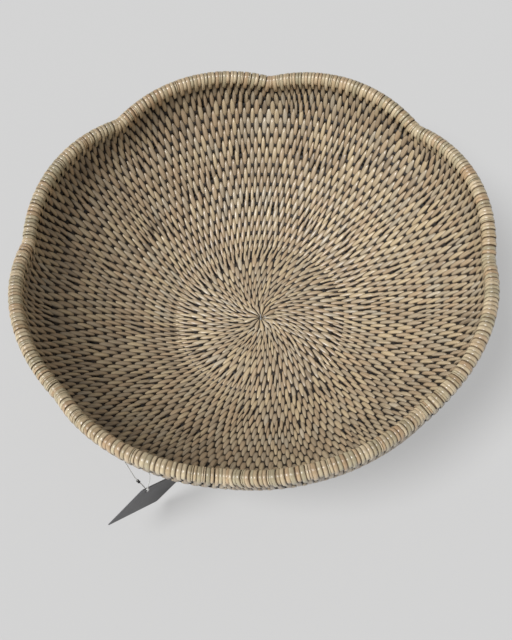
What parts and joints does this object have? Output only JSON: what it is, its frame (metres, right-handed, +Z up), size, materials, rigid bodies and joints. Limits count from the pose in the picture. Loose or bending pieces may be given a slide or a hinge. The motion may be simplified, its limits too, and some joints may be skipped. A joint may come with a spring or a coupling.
{
  "type": "coiled rattan bowl",
  "caption": "Coiled rattan bowl: a spiral base and stacked hoops lashed with peeled strips, a thick lobed rim wound with strip, and a blank card tag on a thread that swings and turns.",
  "frame": {"origin": "at the centre of the basket's underside, where its vertical axis meets the surface it stands on", "axes": "+Z up, along the basket's axis; +X towards one notch of the lobed rim"},
  "size_m": [0.3275, 0.3419, 0.1097],
  "materials": {
    "rattan_rod": "matte",
    "rattan_strip": "satin",
    "rim_strip": "satin",
    "card": "matte",
    "thread": "satin",
    "crimp": "satin"
  },
  "bodies": {
    "bowl": {"base_coil": "rattan_rod", "base_lashing": "rattan_strip", "hoop_01": "rattan_rod", "hoop_02": "rattan_rod", "hoop_03": "rattan_rod", "hoop_04": "rattan_rod", "hoop_05": "rattan_rod", "hoop_06": "rattan_rod", "hoop_07": "rattan_rod", "hoop_08": "rattan_rod", "hoop_09": "rattan_rod", "hoop_10": "rattan_rod", "hoop_11": "rattan_rod", "hoop_12": "rattan_rod", "hoop_13": "rattan_rod", "hoop_14": "rattan_rod", "hoop_15": "rattan_rod", "hoop_16": "rattan_rod", "hoop_17": "rattan_rod", "lashing_01": "rattan_strip", "lashing_02": "rattan_strip", "lashing_03": "rattan_strip", "lashing_04": "rattan_strip", "lashing_05": "rattan_strip", "lashing_06": "rattan_strip", "lashing_07": "rattan_strip", "lashing_08": "rattan_strip", "lashing_09": "rattan_strip", "lashing_10": "rattan_strip", "lashing_11": "rattan_strip", "lashing_12": "rattan_strip", "lashing_13": "rattan_strip", "lashing_14": "rattan_strip", "lashing_15": "rattan_strip", "lashing_16": "rattan_strip", "lashing_17": "rattan_strip", "rim_hoop": "rattan_rod", "rim_binding": "rim_strip"},
    "tag_loop": {"tag_thread": "thread", "tag_crimp": "crimp", "tag_knot": "thread"},
    "tag": {"tag_card": "card"}
  },
  "joints": [
    {"name": "tag_swing", "type": "hinge", "parent": "bowl", "child": "tag_loop", "pos_m": [-0.05419, -0.1577, 0.10263], "axis": [-0.9508, 0.3073, 0.039], "range_deg": [-2, 90]},
    {"name": "card_rock", "type": "hinge", "parent": "tag_loop", "child": "tag", "pos_m": [-0.05517, -0.16054, 0.06558], "axis": [-0.6335, 0.754, 0.1737], "range_deg": [-2, 45]}
  ]
}
